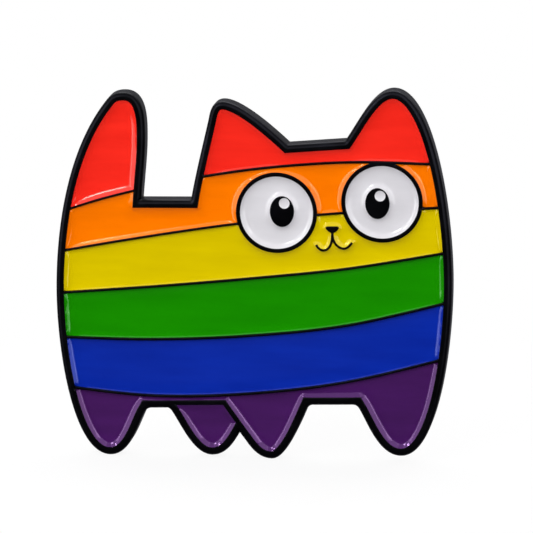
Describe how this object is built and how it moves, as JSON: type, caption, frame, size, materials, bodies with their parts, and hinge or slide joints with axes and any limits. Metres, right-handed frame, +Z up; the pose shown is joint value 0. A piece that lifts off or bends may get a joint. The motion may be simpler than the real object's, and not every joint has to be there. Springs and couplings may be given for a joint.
{
  "type": "enamel pin badge",
  "caption": "Cat-shaped rainbow-striped enamel pin with a raised dyed-metal outline, worn on cloth by posts that butterfly clutches grip from behind.",
  "frame": {"origin": "on the flat back face of the plate, midway between the two posts, at the middle of the silhouette in width and height", "axes": "+X to the right seen from the front, +Y out of the back along the posts, +Z up as the pin is worn; the enamel faces -Y"},
  "size_m": [0.035, 0.0102, 0.033],
  "materials": {
    "dyed_metal": "black-dyed metal, polished",
    "enamel_red": "gloss soft enamel",
    "enamel_orange": "gloss soft enamel",
    "enamel_yellow": "gloss soft enamel",
    "enamel_green": "gloss soft enamel",
    "enamel_blue": "gloss soft enamel",
    "enamel_purple": "gloss soft enamel",
    "enamel_white": "gloss soft enamel",
    "post_steel": "drawn and nickel plated",
    "clutch_metal": "bright stamped brass",
    "spring_wire": "drawn phosphor bronze"
  },
  "bodies": {
    "pin": {"pin_body": "dyed_metal", "enamel_red_tail": "enamel_red", "enamel_red_head": "enamel_red", "enamel_orange_main": "enamel_orange", "enamel_orange_cheek": "enamel_orange", "enamel_yellow": "enamel_yellow", "enamel_green": "enamel_green", "enamel_blue": "enamel_blue", "enamel_purple_near_legs": "enamel_purple", "enamel_purple_far_leg": "enamel_purple", "enamel_white_left_eye": "enamel_white", "enamel_white_right_eye": "enamel_white", "enamel_glint_left_eye": "enamel_white", "enamel_glint_right_eye": "enamel_white", "post_left": "post_steel", "post_right": "post_steel"},
    "left_cup": {"clutch_left_cup": "clutch_metal"},
    "left_cap": {"clutch_left_shell": "clutch_metal", "clutch_left_spring": "spring_wire"},
    "left_wing_a": {"clutch_left_wing_a": "clutch_metal"},
    "left_wing_b": {"clutch_left_wing_b": "clutch_metal"},
    "right_cup": {"clutch_right_cup": "clutch_metal"},
    "right_cap": {"clutch_right_shell": "clutch_metal", "clutch_right_spring": "spring_wire"},
    "right_wing_a": {"clutch_right_wing_a": "clutch_metal"},
    "right_wing_b": {"clutch_right_wing_b": "clutch_metal"}
  },
  "joints": [
    {"name": "left_clutch_slide", "type": "slide", "parent": "pin", "child": "left_cup", "axis": [0, 1, 0], "range_m": [-0.0016, 0.0065]},
    {"name": "left_clutch_spin", "type": "hinge", "parent": "left_cup", "child": "left_cap", "pos_m": [-0.0085, 0.0038, 0], "axis": [0, 1, 0], "continuous": true},
    {"name": "left_wing_a_squeeze", "type": "hinge", "parent": "left_cap", "child": "left_wing_a", "pos_m": [-0.00685, 0.0049, 0], "axis": [0, 0, 1], "range_deg": [0, 10], "stiffness_Nm_per_rad": 0.12, "springref_deg": -1.72, "deforming": ["clutch_left_spring"]},
    {"name": "left_wing_b_squeeze", "type": "hinge", "parent": "left_cap", "child": "left_wing_b", "pos_m": [-0.01015, 0.0049, 0], "axis": [0, 0, -1], "range_deg": [0, 10], "stiffness_Nm_per_rad": 0.12, "springref_deg": -1.72},
    {"name": "right_clutch_slide", "type": "slide", "parent": "pin", "child": "right_cup", "axis": [0, 1, 0], "range_m": [-0.0016, 0.0065]},
    {"name": "right_clutch_spin", "type": "hinge", "parent": "right_cup", "child": "right_cap", "pos_m": [0.0085, 0.0038, 0], "axis": [0, 1, 0], "continuous": true},
    {"name": "right_wing_a_squeeze", "type": "hinge", "parent": "right_cap", "child": "right_wing_a", "pos_m": [0.01015, 0.0049, 0], "axis": [0, 0, 1], "range_deg": [0, 10], "stiffness_Nm_per_rad": 0.12, "springref_deg": -1.72, "deforming": ["clutch_right_spring"]},
    {"name": "right_wing_b_squeeze", "type": "hinge", "parent": "right_cap", "child": "right_wing_b", "pos_m": [0.00685, 0.0049, 0], "axis": [0, 0, -1], "range_deg": [0, 10], "stiffness_Nm_per_rad": 0.12, "springref_deg": -1.72}
  ]
}
